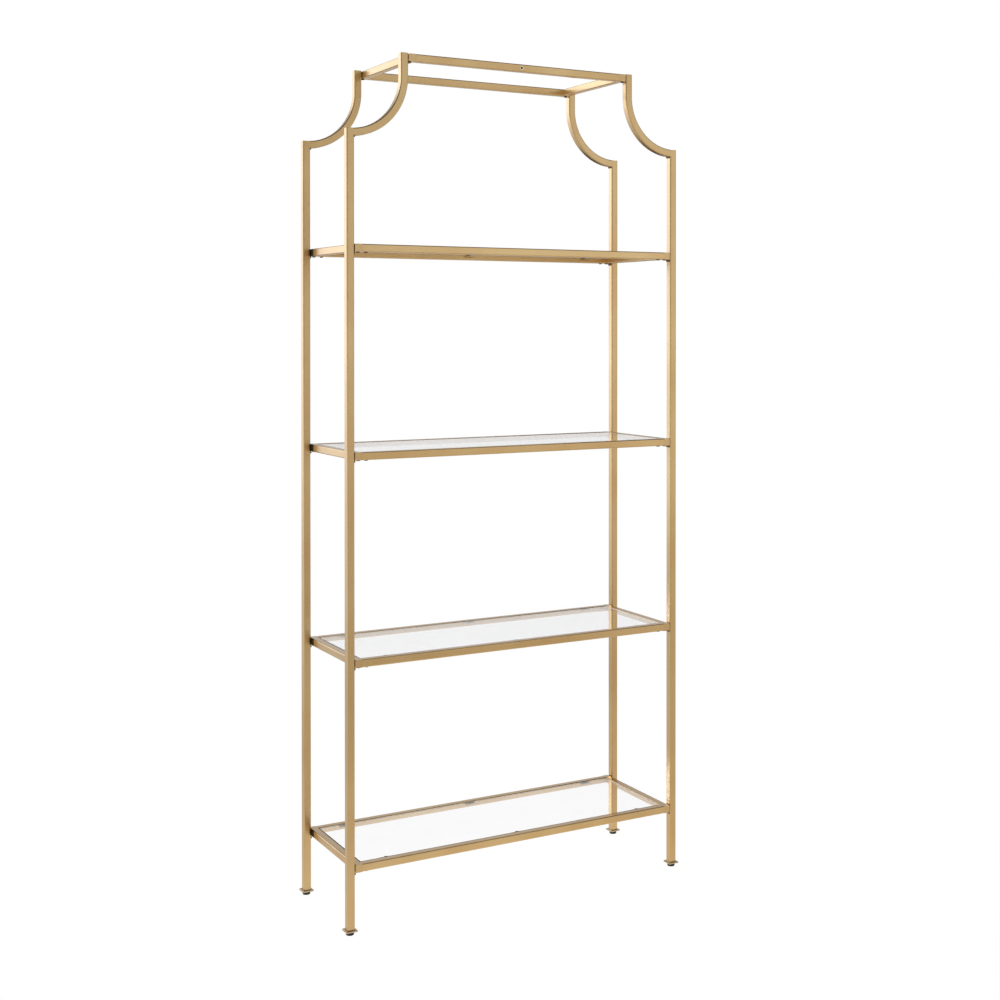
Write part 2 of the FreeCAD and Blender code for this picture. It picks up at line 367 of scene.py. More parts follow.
class Paint:
    """A material being mixed: its canvas, coordinates and main shader."""

    def __init__(self, name: str) -> None:
        """Starts the material.

        Args:
            name: the material's name.
        """
        self.material = bpy.data.materials.new(name)
        self.material.use_nodes = True
        self.canvas = Canvas(self.material.node_tree)
        self.shader = self.material.node_tree.nodes["Principled BSDF"]
        self.place = self.canvas.add("ShaderNodeTexCoord").outputs["Object"]

    def effect(self, tree: Tree, **values: object) -> Node:
        """Places a shared effect, read at the piece's own coordinates.

        Args:
            tree: the effect's group.
            values: its inputs, as in Canvas.feed.

        Returns:
            The group node.
        """
        node = self.canvas.add("ShaderNodeGroup", node_tree=tree)
        return self.canvas.feed(node, Vector=self.place, **values)

    def lay(self, tones: tuple[Colour, Colour], roughness: float, surface: Surface,
            texture: Node, **values: object) -> tuple[Socket, Socket]:
        """Feeds the main shader from two tones and a fine texture.

        Args:
            tones: the light and the deep tone.
            roughness: the middle of its roughness.
            surface: how they vary.
            texture: an effect with outputs Mask and Height.
            values: other inputs of the shader, as in Canvas.feed.

        Returns:
            The colour and the roughness.
        """
        colour = self.effect(EFFECTS.drift, Scale=surface.drift_scale, Light_Tone=rgba(tones[0]),
                             Deep_Tone=rgba(tones[1])).outputs["Color"]
        span = Ramp(0.0, 1.0, roughness - surface.reach, roughness + surface.reach)
        rough = span.over(self.canvas, texture.outputs["Mask"])
        bump = self.canvas.node("ShaderNodeBump", Strength=surface.relief, Distance=surface.depth,
                                Height=texture.outputs["Height"])
        self.canvas.feed(self.shader, Base_Color=colour, Roughness=rough,
                         Normal=bump.outputs["Normal"], **values)
        return colour, rough


@dataclass(frozen=True)
class GoldTube:
    """Champagne gold on steel tube, satin, with polishing lines under a clear lacquer."""

    name: str
    grain: Grain
    light_tone: Colour = (0.715, 0.508, 0.238)
    deep_tone: Colour = (0.640, 0.420, 0.178)
    roughness: float = 0.29
    # A factor on both tones; above 1 it is painted light.
    painted_light_gain: float = 1.0
    surface: Surface = Surface(6.0, 0.07, 0.25, 0.00006)
    line_scale: float = 70.0
    coat: float = 0.85
    coat_roughness: float = 0.20
    coat_ior: float = 1.62
    grazing_tint: Colour = (0.86, 0.76, 0.62)
    # Beyond these X and Y limits the outer face gets a dark, dull patch: painted shade from the
    # uprights.
    shaded_beyond: Spot | None = None
    shade_tone: Colour = (0.060, 0.036, 0.008)
    shade_roughness: float = 0.85

    def material(self) -> Material:
        """Mixes the finish.

        Returns:
            The material.
        """
        paint = Paint(self.name)
        tones = tuple(tuple(self.painted_light_gain * part for part in tone)
                      for tone in (self.light_tone, self.deep_tone))
        lines = paint.effect(EFFECTS.grain, Stretch=self.grain.value, Scale=self.line_scale)
        gold, rough = paint.lay(tones, self.roughness, self.surface, lines, Metallic=1.0,
                                Coat_Weight=self.coat, Coat_Roughness=self.coat_roughness,
                                Coat_IOR=self.coat_ior, Specular_Tint=rgba(self.grazing_tint))
        if self.shaded_beyond:
            self.paint_end_shade(paint, gold, rough)
        return paint.material

    def paint_end_shade(self, paint: Paint, gold: Socket, rough: Socket) -> None:
        """Paints shade on the outer face near both ends, where the uprights shade the side rail: a
        dark, dull patch.

        Args:
            paint: the material being mixed.
            gold: its colour elsewhere.
            rough: its roughness elsewhere.
        """
        canvas = paint.canvas
        shade_masks = [canvas.maths("GREATER_THAN", canvas.maths("ABSOLUTE", axis), limit)
                 for axis, limit in zip(canvas.axes(paint.place), self.shaded_beyond)]
        painted_shade = canvas.maths("MULTIPLY", *shade_masks)
        plain = canvas.maths("SUBTRACT", 1.0, painted_shade)
        dull = canvas.maths("MULTIPLY", painted_shade, self.shade_roughness)
        canvas.feed(paint.shader, Base_Color=canvas.blend(painted_shade, gold, rgba(self.shade_tone)),
                    Metallic=plain, Roughness=canvas.maths("MAXIMUM", rough, dull),
                    Coat_Weight=canvas.maths("MULTIPLY", plain, self.coat))


@dataclass(frozen=True)
class ClearGlass:
    """Clear toughened glass, a little deeper in tone along its ground edges."""

    name: str = "shelf_glass"
    face: Colour = (0.984, 0.984, 0.981)
    smeared: Colour = (0.970, 0.970, 0.966)
    edge: Colour = (0.30, 0.34, 0.32)
    edge_slope: float = 0.5
    edge_roughness: float = 0.35
    smear_scale: float = 9.0
    ior: float = 1.5

    def material(self) -> Material:
        """Mixes the finish.

        Returns:
            The material.
        """
        paint = Paint(self.name)
        canvas = paint.canvas
        normal = canvas.axes(canvas.add("ShaderNodeNewGeometry").outputs["True Normal"])
        upright = canvas.maths("LESS_THAN", canvas.maths("ABSOLUTE", normal[2]), self.edge_slope)
        smear = paint.effect(EFFECTS.drift, Scale=self.smear_scale, Light_Tone=rgba(self.face),
                             Deep_Tone=rgba(self.smeared))
        canvas.feed(paint.shader, Metallic=0.0, IOR=self.ior, Transmission_Weight=1.0,
                    Base_Color=canvas.blend(upright, smear.outputs["Color"], rgba(self.edge)),
                    Roughness=canvas.maths("MULTIPLY", upright, self.edge_roughness))
        return paint.material


@dataclass(frozen=True)
class TwoTone:
    """Two tones with fine pits and grains: moulded plastic, or a weld seam."""

    name: str
    light_tone: Colour
    deep_tone: Colour
    roughness: float
    surface: Surface = Surface(120.0, 0.08, 0.2, 0.00005)
    texture_scale: float = 1500.0
    sparse: float = 0.7
    metallic: float = 0.0
    ior: float = 1.45
    transmission: float = 0.0

    def texture(self, paint: Paint) -> Node:
        """The pits that the roughness and the relief follow."""
        return paint.effect(EFFECTS.speckle, Scale=self.texture_scale, Sparse=self.sparse)

    def material(self) -> Material:
        """Mixes the finish.

        Returns:
            The material.
        """
        paint = Paint(self.name)
        paint.lay((self.light_tone, self.deep_tone), self.roughness, self.surface,
                  self.texture(paint), Metallic=self.metallic, IOR=self.ior,
                  Transmission_Weight=self.transmission)
        return paint.material


@dataclass(frozen=True)
class Steel(TwoTone):
    """Small steel hardware, plated or blackened, with lines in place of pits."""

    surface: Surface = Surface(240.0, 0.1, 0.2, 0.00004)
    texture_scale: float = 160.0
    metallic: float = 1.0
    ior: float = 1.5

    def texture(self, paint: Paint) -> Node:
        """The lines that the roughness and the relief follow."""
        return paint.effect(EFFECTS.grain, Stretch=Grain.EVEN.value, Scale=self.texture_scale)


class Palette:
    """Every finish of the etagere, mixed once."""

    def __init__(self) -> None:
        """Mixes the finishes."""
        # The rails along X get a tone 5% lighter than the posts: painted light, for the light that
        # the rails catch more than the posts.
        painted_light_gains = {Grain.ALONG_X: 1.05}
        self.gold = {grain: GoldTube("gold_" + grain.name.lower(), grain,
                                     painted_light_gain=painted_light_gains.get(grain, 1.0)).material()
                     for grain in Grain}
        self.even = self.gold[Grain.EVEN]
        # The shelf frames' side rails: gold with painted shade on the outer face near both ends.
        self.shelf_side = GoldTube("gold_shelf_side", Grain.ALONG_Y,
                                   shaded_beyond=(0.3876, 0.1055)).material()
        self.plate = GoldTube("gold_plate", Grain.EVEN, (0.60, 0.47, 0.30), (0.50, 0.38, 0.23),
                              roughness=0.36).material()
        # Weld metal for the fillets and beads: partly the weld's own darker tone, partly painted
        # shade in the corners and under the rails and tabs where they sit.
        self.seam = TwoTone("gold_seam", (0.22, 0.15, 0.07), (0.10, 0.07, 0.03), 0.51,
                            Surface(180.0, 0.09, 0.3, 0.00005), texture_scale=2500.0,
                            sparse=0.6, metallic=0.9, ior=1.5).material()
        self.glass = ClearGlass().material()
        self.pad = TwoTone("leveller_pad_black", (0.030, 0.029, 0.028), (0.018, 0.018, 0.018),
                           0.55).material()
        self.bumper = TwoTone("clear_bumper", (0.93, 0.92, 0.89), (0.86, 0.85, 0.82), 0.35,
                              texture_scale=700.0, transmission=0.25).material()
        self.zinc = Steel("zinc_plate", (0.62, 0.62, 0.61), (0.50, 0.50, 0.49), 0.34).material()
        self.insert = Steel("insert_plate", (1.00, 0.86, 0.62), (0.90, 0.76, 0.52),
                            0.38).material()
        self.dark_screw = Steel("blackened_screw", (0.070, 0.055, 0.040),
                                (0.035, 0.028, 0.022), 0.45, metallic=0.6).material()


# ---- geometry trees
def mesh_tree(name: str, **inputs: str) -> tuple[Canvas, dict[str, Socket], Node]:
    """Starts a tree from mesh to mesh that also takes a material and the given inputs."""
    return new_tree(name, "Geometry", {"Geometry": "Geometry", **inputs, "Material": "Material"},
                    {"Geometry": "Geometry"})


def close_tree(canvas: Canvas, made: Socket, given: dict[str, Socket], leave: Node) -> Tree:
    """Ends a tree in Realize Instances and Set Material.

    Args:
        canvas: the tree's canvas.
        made: the geometry so far.
        given: the tree's inputs.
        leave: the output node.

    Returns:
        The tree.
    """
    real = canvas.node("GeometryNodeRealizeInstances", Geometry=made)
    coat = canvas.node("GeometryNodeSetMaterial", Geometry=real.outputs[0],
                       Material=given["Material"])
    canvas.feed(leave, Geometry=coat.outputs[0])
    return canvas.tree


def build_bead_tree(smallest: float = 0.88, largest: float = 1.12,
                    flatness: float = 0.75) -> Tree:
    """A weld bead: overlapping flattened drops along the edges of a mesh.

    Args:
        smallest: size of the smallest drop, as a share of Radius.
        largest: size of the largest.
        flatness: a drop's length along the bead, as a share of its width.

    Returns:
        The tree, with inputs Pitch, Radius, Seed and Material.
    """
    canvas, given, leave = mesh_tree("weld_bead", Pitch="Float", Radius="Float", Seed="Int")
    path = canvas.node("GeometryNodeMeshToCurve", Mesh=given["Geometry"])
    stops = canvas.add("GeometryNodeCurveToPoints", mode="LENGTH")
    canvas.feed(stops, Curve=path.outputs[0], Length=given["Pitch"])
    drop = canvas.node("GeometryNodeMeshIcoSphere", Radius=1.0, Subdivisions=2)
    size = canvas.add("FunctionNodeRandomValue", data_type="FLOAT")
    for socket, share in ((2, smallest), (3, largest)):
        canvas.put(size.inputs[socket], canvas.maths("MULTIPLY", given["Radius"], share))
    canvas.put(size.inputs["Seed"], given["Seed"])
    wide = size.outputs[1]
    drops = canvas.node("GeometryNodeInstanceOnPoints", Points=stops.outputs["Points"],
                        Instance=drop.outputs["Mesh"], Rotation=stops.outputs["Rotation"],
                        Scale=canvas.join(wide, wide, canvas.maths("MULTIPLY", wide, flatness)))
    return close_tree(canvas, drops.outputs[0], given, leave)


def build_infill_tree() -> Tree:
    """Weld metal ground flush: a block at each point, as large as the point's block_size.

    Returns:
        The tree, with input Material.
    """
    canvas, given, leave = mesh_tree("ground_weld")
    block = canvas.add("GeometryNodeMeshCube")
    size = canvas.add("GeometryNodeInputNamedAttribute", data_type="FLOAT_VECTOR")
    canvas.feed(size, Name="block_size")
    blocks = canvas.node("GeometryNodeInstanceOnPoints", Points=given["Geometry"],
                         Instance=block.outputs["Mesh"], Scale=size.outputs["Attribute"])
    return close_tree(canvas, blocks.outputs[0], given, leave)


def build_fillet_tree(sides: int = 24) -> Tree:
    """A smooth round weld along the edges of a mesh.

    Args:
        sides: how many sides the round has.

    Returns:
        The tree, with inputs Radius and Material.
    """
    canvas, given, leave = mesh_tree("corner_weld", Radius="Float")
    path = canvas.node("GeometryNodeMeshToCurve", Mesh=given["Geometry"])
    section = canvas.add("GeometryNodeCurvePrimitiveCircle", mode="RADIUS")
    canvas.feed(section, Resolution=sides, Radius=given["Radius"])
    ridge = canvas.node("GeometryNodeCurveToMesh", Curve=path.outputs[0],
                        Profile_Curve=section.outputs["Curve"], Fill_Caps=True)
    return close_tree(canvas, ridge.outputs[0], given, leave)


def build_thread_tree(columns: int = 25, rows: int = 201, threaded: float = 0.4999,
                      join_within: float = 0.000005) -> Tree:
    """A closed threaded rod, upright, from a grid of turn angle and height.

    Args:
        columns: points round the rod, the first and the last in one place.
        rows: points along it.
        threaded: share of Length, up and down from the middle, beyond which the end closes.
        join_within: distance within which points become one.

    Returns:
        The tree, with inputs Foot, Length, Major, Minor, Pitch and Material.
    """
    canvas, given, leave = mesh_tree("threaded_rod", Foot="Vector", Length="Float",
                                     Major="Float", Minor="Float", Pitch="Float")
    maths = canvas.maths
    grid = canvas.node("GeometryNodeMeshGrid", Size_X=2.0 * math.pi, Size_Y=given["Length"],
                       Vertices_X=columns, Vertices_Y=rows)
    angle, height, _ = canvas.axes(canvas.add("GeometryNodeInputPosition").outputs[0])
    turns = maths("SUBTRACT", maths("DIVIDE", height, given["Pitch"]),
                  maths("DIVIDE", angle, 2.0 * math.pi))
    depth = maths("SUBTRACT", given["Major"], given["Minor"])
    ridge = maths("MULTIPLY_ADD", maths("PINGPONG", turns, 0.5), maths("MULTIPLY", depth, 2.0),
                  given["Minor"])
    inside = maths("LESS_THAN", maths("ABSOLUTE", height),
                   maths("MULTIPLY", given["Length"], threaded))
    radius = maths("MULTIPLY", ridge, inside)
    spot = canvas.join(maths("MULTIPLY", radius, maths("COSINE", angle)),
                       maths("MULTIPLY", radius, maths("SINE", angle)),
                       maths("MULTIPLY_ADD", given["Length"], 0.5, height))
    moved = canvas.node("GeometryNodeSetPosition", Geometry=grid.outputs["Mesh"],
                        Position=canvas.vectors("ADD", spot, given["Foot"]))
    merged = canvas.node("GeometryNodeMergeByDistance", Geometry=moved.outputs[0],
                         Distance=join_within)
    return close_tree(canvas, merged.outputs[0], given, leave)


class Workshop:
    """Makes plain meshes from the geometry trees."""

    def __init__(self) -> None:
        """Builds the trees."""
        self.bead = build_bead_tree()
        self.infill = build_infill_tree()
        self.fillet = build_fillet_tree()
        self.thread = build_thread_tree()

    @staticmethod
    def run(name: str, start: Mesh, tree: Tree, smooth: bool = True,
            **values: object) -> Object:
        """Runs a tree on a mesh and keeps only the plain result.

        Args:
            name: name of the new piece.
            start: the mesh that the tree starts from.
            tree: the geometry tree.
            smooth: smooth shading, for rounded pieces.
            values: its inputs by name, with _ for a space.

        Returns:
            An object at the origin with the finished mesh.
        """
        carrier = put_in_scene(name + "_path", start)
        modifier = carrier.modifiers.new("make", "NODES")
        modifier.node_group = tree
        for socket in tree.interface.items_tree:
            key = socket.name.replace(" ", "_")
            if socket.in_out == "INPUT" and key in values:
                modifier[socket.identifier] = values[key]
        bpy.context.view_layer.update()
        evaluated = carrier.evaluated_get(bpy.context.evaluated_depsgraph_get())
        mesh = bpy.data.meshes.new_from_object(evaluated)
        mesh.name = name
        bpy.data.objects.remove(carrier)
        return add_piece(name, mesh, smooth)


def put_in_scene(name: str, data: bpy.types.ID) -> Object:
    """Makes an object of a mesh, lamp or camera and puts it in the scene.

    Args:
        name: the object's name.
        data: what it shows.

    Returns:
        The object.
    """
    thing = bpy.data.objects.new(name, data)
    bpy.context.scene.collection.objects.link(thing)
    return thing


def add_piece(name: str, mesh: Mesh, smooth: bool = True) -> Object:
    """Puts a mesh in the scene as an object at the origin.

    Args:
        name: the piece's name.
        mesh: its mesh, already in place.
        smooth: smooth shading, for rounded pieces.

    Returns:
        The object.
    """
    for polygon in mesh.polygons:
        polygon.use_smooth = smooth
    return put_in_scene(name, mesh)


def dress(node: str, material: Material) -> None:
    """Gives a CAD node its finish.

    Args:
        node: the node's name.
        material: the finish.
    """
    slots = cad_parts[node].data.materials
    slots.clear()
    slots.append(material)


# ---- weld paths
def rounded_square(low: Spot, high: Spot, radius: float, steps: int = 4) -> list[Spot]:
    """A ring of points round a square with rounded corners.

    Args:
        low: lowest corner.
        high: highest corner.
        radius: corner radius.
        steps: straight steps round each corner.

    Returns:
        The points in order.
    """
    left, right = low[0] + radius, high[0] - radius
    bottom, top = low[1] + radius, high[1] - radius
    ring = []
    for across, up, start in ((right, top, 0.0), (left, top, 90.0), (left, bottom, 180.0),
                              (right, bottom, 270.0)):
        for step in range(steps + 1):
            turn = math.radians(start + 90.0 * step / steps)
            ring.append((across + radius * math.cos(turn), up + radius * math.sin(turn)))
    return ring


@dataclass
class WeldPaths:
    """Lines and rings that a bead or seam follows, gathered in one mesh."""

    points: list[Point] = field(default_factory=list)
    edges: list[tuple[int, int]] = field(default_factory=list)

    def line(self, start: Point, end: Point) -> None:
        """Adds a straight path.

        Args:
            start: its first point.
            end: its last point.
        """
        self.edges.append((len(self.points), len(self.points) + 1))
        self.points += [start, end]

    def ring(self, points: list[Point]) -> None:
        """Adds a closed path.

        Args:
            points: its points in order.
        """
        first, count = len(self.points), len(points)
        self.edges += [(first + i, first + (i + 1) % count) for i in range(count)]
        self.points += points

    def mesh(self) -> Mesh:
        """Puts the paths in a mesh.

        Returns:
            A mesh of edges.
        """
        mesh = bpy.data.meshes.new("weld_paths")
        mesh.from_pydata(self.points, self.edges, [])
        return mesh


@dataclass
class Infills:
    """Ground weld metal where a tube's end stands against another tube's rounded edge."""

    middles: list[Vector] = field(default_factory=list)
    sizes: list[Vector] = field(default_factory=list)
    skin: float = 0.00002
    overlap: float = 0.0001

    def add(self, joint: Point, into: int, face: int, length_axis: int, length: float,
            corner: float) -> None:
        """Adds one flush block.

        Args:
            joint: middle of the joint line, on the faces' common plane.
            into: signed axis, 1 to 3, from the joint towards the rounded edge.
            face: signed axis, 1 to 3, that the common plane faces.
            length_axis: axis, 0 to 2, that the joint line runs along.
            length: length of the joint line.
            corner: outer radius of the rounded edge.
        """
        width = corner + self.overlap
        across, out = abs(into) - 1, abs(face) - 1
        size, middle = Vector((0.0, 0.0, 0.0)), Vector(joint)
        size[length_axis], size[across], size[out] = length, width, corner / 2.0
        middle[across] += math.copysign(width / 2.0 - self.overlap, into)
        middle[out] -= math.copysign(corner / 4.0 + self.skin, face)
        self.middles.append(middle)
        self.sizes.append(size)

    def mesh(self) -> Mesh:
        """Puts the blocks in a mesh.

        Returns:
            A mesh of points with a size each.
        """
        mesh = bpy.data.meshes.new("ground_weld_points")
        mesh.from_pydata(self.middles, [], [])
        sizes = mesh.attributes.new("block_size", "FLOAT_VECTOR", "POINT")
        for entry, size in zip(sizes.data, self.sizes):
            entry.vector = size
        return mesh


# ---- sub-assemblies
@dataclass
class Assembly:
    """What every sub-assembly works with."""

    palette: Palette
    workshop: Workshop
    tube_corner: float = 0.0023
    bead_radius: float = 0.0007

    def weld(self, name: str, start: Mesh, tree: Tree, **values: object) -> None:
        """Makes a piece of weld metal on the frame.

        Args:
            name: the piece's name.
            start: the mesh that the tree starts from.
            tree: the geometry tree.
            values: the rest of Workshop.run's arguments.
        """
        piece = self.workshop.run(name, start, tree, **values)
        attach(piece, Body.FRAME.value)

    def fillets(self, name: str, paths: WeldPaths, radius: float) -> None:
        """Makes round welds along paths."""
        self.weld(name, paths.mesh(), self.workshop.fillet, Radius=radius,
                  Material=self.palette.seam)

    def infills(self, name: str, blocks: Infills) -> None:
        """Makes flush ground welds."""
        self.weld(name, blocks.mesh(), self.workshop.infill, smooth=False,
                  Material=self.palette.even)

    def inner_face(self, corner: Corner) -> tuple[float, float, float]:
        """Where a post's inner face is flat.

        Args:
            corner: which post.

        Returns:
            The face's X, and the Y of its two ends.
        """
        low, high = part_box("post_" + corner.label)
        return (high.x if corner.side < 0 else low.x, low.y + self.tube_corner,
                high.y - self.tube_corner)


@dataclass
class Uprights(Assembly):
    """The four posts with their arches and caps."""

    fillet_radius: float = 0.0030

    def build(self) -> None:
        """Finishes the tubes and adds the welds where each arch leaves its post."""
        fillets = WeldPaths()
        infills = Infills()
        for corner in Corner:
            dress("post_" + corner.label, self.palette.gold[Grain.ALONG_Z])
            dress("arch_" + corner.label, self.palette.even)
            self.arch_root(corner, fillets, infills)
        dress("upright_caps", self.palette.even)
        self.fillets("arch_fillets", fillets, self.fillet_radius)
        self.infills("arch_infills", infills)

    def arch_root(self, corner: Corner, fillets: WeldPaths, infills: Infills) -> None:
        """Adds the welds of one arch: a fillet under it and ground metal front and back.

        Args:
            corner: which upright.
            fillets: where the fillet goes.
            infills: where the ground metal goes.
        """
        low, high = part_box("post_" + corner.label)
        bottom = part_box("arch_" + corner.label)[0].z
        x, front, back = self.inner_face(corner)
        fillets.line((x, front, bottom), (x, back, bottom))
        tube, edge = high.x - low.x, self.tube_corner
        for face, y in ((-2, low.y), (2, high.y)):
            infills.add((x, y, bottom + tube / 2.0), corner.side, face, 2, tube - 2.0 * edge, edge)


@dataclass
class Frames(Assembly):
    """The top frame and the four shelf frames, with their screws and wall inserts."""

    names: tuple[str, ...] = ("top", "shelf_1", "shelf_2", "shelf_3", "shelf_4")
    seat_radius: float = 0.0027
    seat_drop: float = 0.0020

    def build(self) -> None:
        """Finishes the rails and adds the ground welds and the seat welds at their corners."""
        infills = Infills()
        seats = WeldPaths()
        for name in self.names:
            for side in ("left", "right"):
                dress(f"{name}_rail_{side}", self.palette.gold[Grain.ALONG_Y] if name == "top"
                      else self.palette.shelf_side)
            for side in ("front", "back"):
                dress(f"{name}_rail_{side}", self.palette.gold[Grain.ALONG_X])
                self.corner_welds(name, side, infills)
            if name != "top":
                self.seat_welds(name, seats)
        dress("rail_end_caps", self.palette.even)
        dress("frame_tongues", self.palette.even)
        dress("frame_screws", self.palette.dark_screw)
        dress("wall_inserts", self.palette.insert)
        self.infills("frame_corner_infills", infills)
        self.fillets("frame_seat_welds", seats, self.seat_radius)

    def seat_welds(self, name: str, seats: WeldPaths) -> None:
        """Adds the welds on the uprights that a shelf frame's corners rest on, in the dark seam
        tone: partly weld, partly painted shade under the frame.

        Args:
            name: the frame.
            seats: where the welds go.
        """
        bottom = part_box(name + "_rail_left")[0].z - self.seat_drop
        for corner in Corner:
            x, front, back = self.inner_face(corner)
            seats.line((x, front, bottom), (x, back, bottom))

    def corner_welds(self, name: str, side: str, infills: Infills) -> None:
        """Ground metal over and under both ends of a front or back rail.

        Args:
            name: the frame.
            side: front or back.
            infills: where the ground metal goes.
        """
        low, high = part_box(f"{name}_rail_{side}")
        edge = self.tube_corner
        y = (low.y + high.y) / 2.0
        length = high.y - low.y - 2.0 * edge
        for x, into in ((low.x, -1), (high.x, 1)):
            for z, face in ((low.z, -3), (high.z, 3)):
                infills.add((x, y, z), into, face, 1, length, edge)


@dataclass
class GlassShelves(Assembly):
    """The panes with the tabs and bumpers that they lie on."""

    count: int = 4
    tabs_x: tuple[float, ...] = (-0.312, 0.0, 0.312)
    tab_width: float = 0.024
    bead_pitch: float = 0.0008

    def build(self) -> None:
        """Finishes glass, tabs and bumpers, and adds the tabs' weld beads."""
        paths = WeldPaths()
        for number in range(1, self.count + 1):
            name = f"shelf_{number}"
            dress(name + "_glass", self.palette.glass)
            dress(name + "_glass_tabs", self.palette.even)
            dress(name + "_bumpers", self.palette.bumper)
            self.tab_beads(name, paths)
        self.weld("tab_beads", paths.mesh(), self.workshop.bead, Radius=self.bead_radius,
                  Pitch=self.bead_pitch, Seed=7, Material=self.palette.seam)

    def tab_beads(self, name: str, paths: WeldPaths) -> None:
        """Beads under each tab, along the rail that carries it.

        Args:
            name: the shelf.
            paths: where the beads go.
        """
        low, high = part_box(name + "_glass_tabs")
        half = self.tab_width / 2.0 - self.bead_radius
        for x in self.tabs_x:
            for y in (low.y, high.y):
                paths.line((x - half, y, low.z), (x + half, y, low.z))


@dataclass
class Feet(Assembly):
    """Foot plates, nuts and the four levellers."""

    bead_pitch: float = 0.0009
    stem_radius: float = 0.003
    thread_pitch: float = 0.001
    thread_depth: float = 0.00055
    collar_height: float = 0.0018
    collar_radius: float = 0.0055
    collar_edge: float = 0.0004
    collar_sides: int = 48

    def build(self) -> None:
        """Finishes the feet, adds the plates' weld rings and the threaded stems."""
        paths = WeldPaths()
        for corner in Corner:
            dress("foot_plate_" + corner.label, self.palette.plate)
            dress("leveller_pad_" + corner.label, self.palette.pad)
            self.plate_ring(corner, paths)
            self.threaded_stem(corner)
        dress("foot_nuts", self.palette.zinc)
        self.weld("foot_beads", paths.mesh(), self.workshop.bead, Radius=self.bead_radius,
                  Pitch=self.bead_pitch, Seed=11, Material=self.palette.plate)

    def plate_ring(self, corner: Corner, paths: WeldPaths) -> None:
        """Adds the bead ring round a post on its foot plate.

        Args:
            corner: which post.
            paths: where the ring goes.
        """
        low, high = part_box("post_" + corner.label)
        ring = rounded_square((low.x, low.y), (high.x, high.y), self.tube_corner)
        paths.ring([(x, y, low.z) for x, y in ring])

    def threaded_stem(self, corner: Corner) -> None:
        """Replaces the plain stem with a threaded one that keeps its collar.

        Args:
            corner: which leveller.
        """
        node = "leveller_stem_" + corner.label
        low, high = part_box(node)
        pad_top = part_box("leveller_pad_" + corner.label)[1].z
        middle = (low + high) / 2.0
        rod = self.workshop.run("threaded_" + node, bpy.data.meshes.new("thread_start"),
                                self.workshop.thread, Foot=(middle.x, middle.y, low.z),
                                Length=high.z - low.z, Major=self.stem_radius,
                                Minor=self.stem_radius - self.thread_depth,
                                Pitch=self.thread_pitch, Material=self.palette.zinc)
        self.add_collar(rod, middle, pad_top)
        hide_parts(node)
        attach(rod, Body.leveller(corner))

    def add_collar(self, rod: Object, middle: Vector, bottom: float) -> None:
        """Turns the collar and joins it to the rod's mesh.

        Args:
            rod: the threaded rod.
            middle: the stem's axis.
            bottom: height of the collar's lower face.
        """
        edge, outer, top = self.collar_edge, self.collar_radius, self.collar_height
        profile = [(0.0, 0.0), (outer - edge, 0.0), (outer, edge), (outer, top - edge),
                   (outer - edge, top), (0.0, top)]
        mesh = bmesh.new()
        mesh.from_mesh(rod.data)
        rings = []
        for radius, height in profile:
            turns = [2.0 * math.pi * step / self.collar_sides for step in range(self.collar_sides)]
            rings.append([mesh.verts.new((middle.x + radius * math.cos(turn),
                                          middle.y + radius * math.sin(turn), bottom + height))
                          for turn in (turns if radius else turns[:1])])
        for below, above in zip(rings, rings[1:]):
            for step in range(self.collar_sides):
                after = (step + 1) % self.collar_sides
                corners = [below[step % len(below)], below[after % len(below)],
                           above[after % len(above)], above[step % len(above)]]
                mesh.faces.new(list(dict.fromkeys(corners)))
        mesh.to_mesh(rod.data)
        mesh.free()


# ---- studio
@dataclass(frozen=True)
class Panel:
    """A soft bright region of the sky: where its middle is, how tight it is, and its light."""

    towards: Point
    power: float
    strength: float
    colour: Colour

    def light(self, canvas: Canvas, direction: Socket) -> Socket:
        """The light that the panel adds in a direction.

        Args:
            canvas: the world's canvas.
            direction: the ray's direction.

        Returns:
            The light as a colour.
        """
        dot = canvas.vectors("DOT_PRODUCT", direction, Vector(self.towards).normalized())
        facing = canvas.maths("MAXIMUM", dot, 0.0)
        level = canvas.maths("MULTIPLY", canvas.maths("POWER", facing, self.power), self.strength)
        tint = canvas.add("ShaderNodeVectorMath", operation="SCALE")
        canvas.put(tint.inputs[0], self.colour)
        canvas.put(tint.inputs["Scale"], level)
        return tint.outputs[0]


